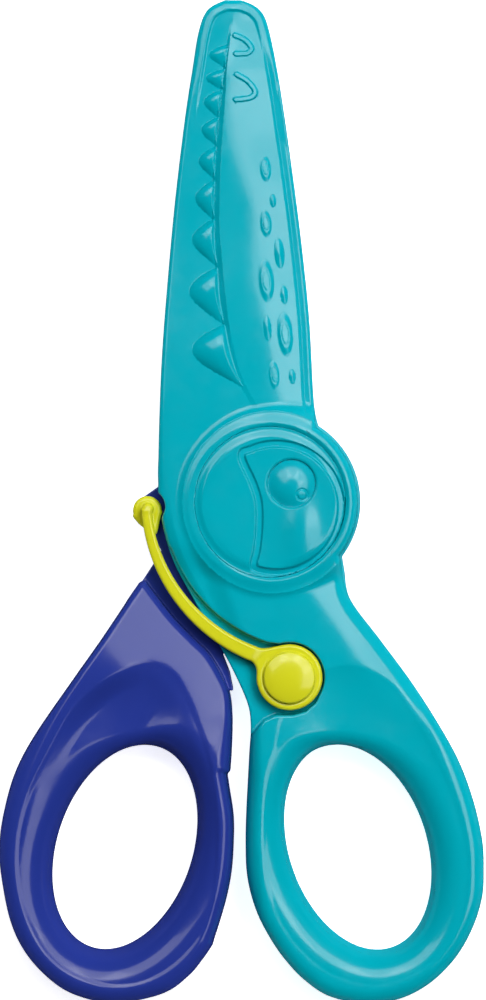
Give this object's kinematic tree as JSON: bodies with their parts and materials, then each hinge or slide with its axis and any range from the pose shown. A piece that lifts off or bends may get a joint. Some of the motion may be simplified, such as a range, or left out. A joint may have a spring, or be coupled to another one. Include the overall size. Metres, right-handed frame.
{
  "type": "decorative edge scissors",
  "caption": "Children's craft scissors with two finger loops, covered jaws over wavy-edged blades, a domed pivot cap and a clip-on plastic opening spring.",
  "frame": {"origin": "on the pivot's axis, at the flat face of the rear pivot cap that the scissors rest on", "axes": "+Y from the pivot to the tip, +Z out of the front face, +X to the right seen from the front"},
  "size_m": [0.0655, 0.1353, 0.0101],
  "materials": {
    "teal_plastic": "smooth moulded, semi-gloss",
    "blue_plastic": "smooth moulded, semi-gloss",
    "yellow_plastic": "smooth moulded, semi-gloss",
    "blade_steel": "fine ground, stamped",
    "fastener_steel": "plated"
  },
  "bodies": {
    "front_half": {"front_lever": "teal_plastic", "front_blade": "blade_steel", "front_blade_screws": "fastener_steel", "front_pivot_cap": "teal_plastic", "pivot_post": "fastener_steel", "pivot_screw": "fastener_steel", "pivot_spring_washer": "fastener_steel", "spring_button": "yellow_plastic", "spring_button_clip": "fastener_steel"},
    "rear_half": {"rear_lever": "blue_plastic", "rear_blade": "blade_steel", "rear_blade_screws": "fastener_steel", "rear_pivot_cap": "blue_plastic"},
    "spring_arm_root": {"spring_root": "yellow_plastic"},
    "spring_arm_tip": {"spring_tip": "yellow_plastic"}
  },
  "joints": [
    {"name": "scissors_pivot", "type": "hinge", "parent": "front_half", "child": "rear_half", "pos_m": [0, 0, 0.005], "axis": [0, 0, -1], "range_deg": [0, 20]},
    {"name": "spring_swing", "type": "hinge", "parent": "front_half", "child": "spring_arm_root", "pos_m": [0.0026, -0.0236, 0.0077], "axis": [0, 0, -1], "range_deg": [0, 2.2]},
    {"name": "spring_flex", "type": "hinge", "parent": "spring_arm_root", "child": "spring_arm_tip", "pos_m": [-0.01192, -0.01324, 0.0077], "axis": [0, 0, 1], "range_deg": [0, 4.2]}
  ],
  "couplings": [
    {"joint": "spring_swing", "follows": "scissors_pivot", "ratio": 0.103},
    {"joint": "spring_flex", "follows": "scissors_pivot", "ratio": 0.199}
  ]
}
